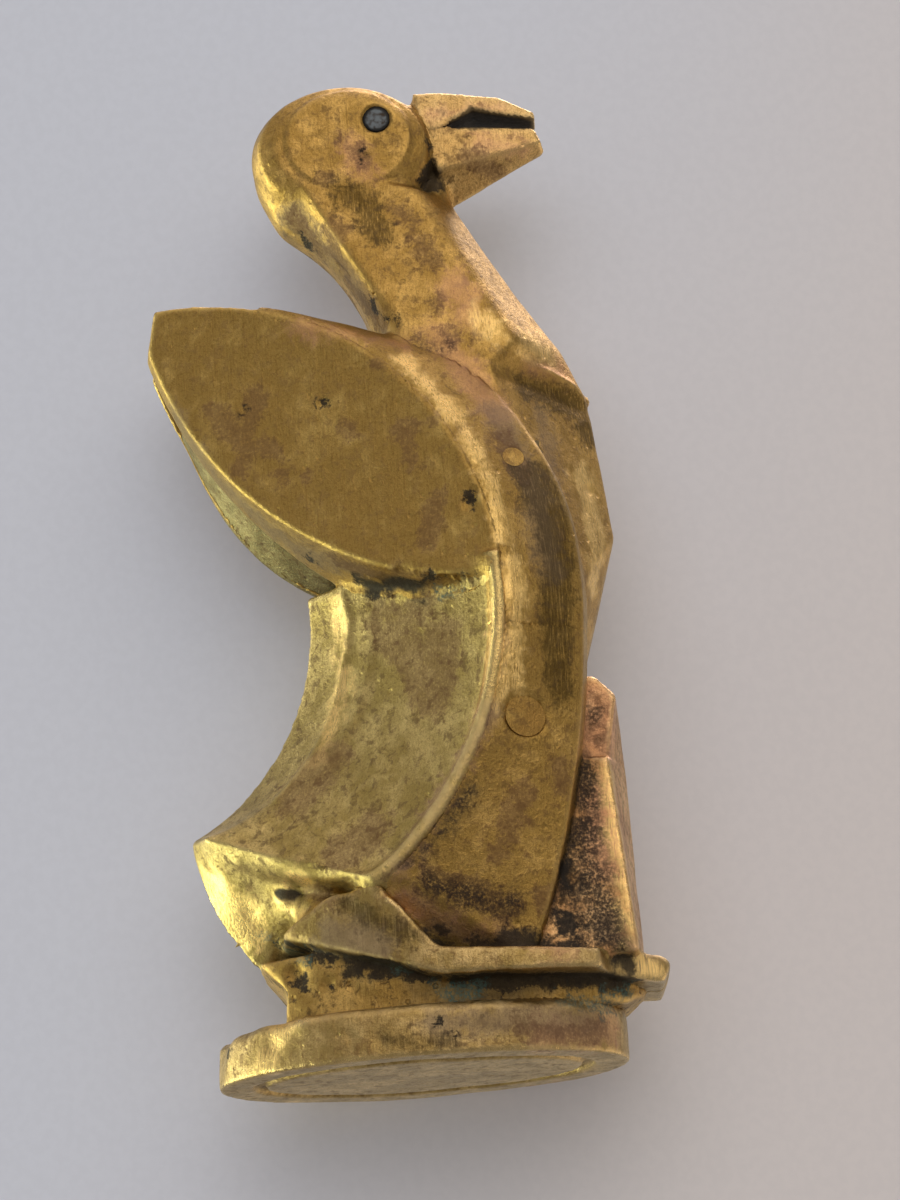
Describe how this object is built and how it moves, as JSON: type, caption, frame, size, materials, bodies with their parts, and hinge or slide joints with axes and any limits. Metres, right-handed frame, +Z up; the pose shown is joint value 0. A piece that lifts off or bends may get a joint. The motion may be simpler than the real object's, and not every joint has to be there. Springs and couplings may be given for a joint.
{
  "type": "bird mascot figurine",
  "caption": "Upright bird figure in facetted cast brass with raised wings and an open bill, standing on a thick oval plinth with a flat underside.",
  "frame": {"origin": "middle of the plinth's flat underside", "axes": "+Z up along the figure's height, +X the way the bill points, -Y the bird's right side; the XZ plane is the plane of symmetry"},
  "size_m": [0.05, 0.0332, 0.1086],
  "materials": {
    "cast_brass": "aged olive-gold patina, worn bright on the rims",
    "pin_brass": "redder brass, filed flush",
    "dark_inlay": "dark oxidised studs"
  },
  "bodies": {
    "root": {"plinth": "cast_brass", "ground": "cast_brass", "foot_right": "cast_brass", "foot_left": "cast_brass", "inner_body": "cast_brass", "head_neck_and_breast": "cast_brass", "upper_bill": "cast_brass", "lower_bill": "cast_brass", "tail": "cast_brass", "leg_right": "cast_brass", "leg_left": "cast_brass", "wing_right": "cast_brass", "wing_left": "cast_brass", "shoulder_right": "cast_brass", "shoulder_left": "cast_brass", "flank_right": "cast_brass", "flank_left": "cast_brass", "leg_pin": "pin_brass", "shoulder_pin": "pin_brass", "plinth_dowels": "pin_brass", "neck_dowel": "pin_brass", "bill_dowels": "pin_brass", "eye_right": "dark_inlay", "eye_left": "dark_inlay"}
  },
  "joints": []
}
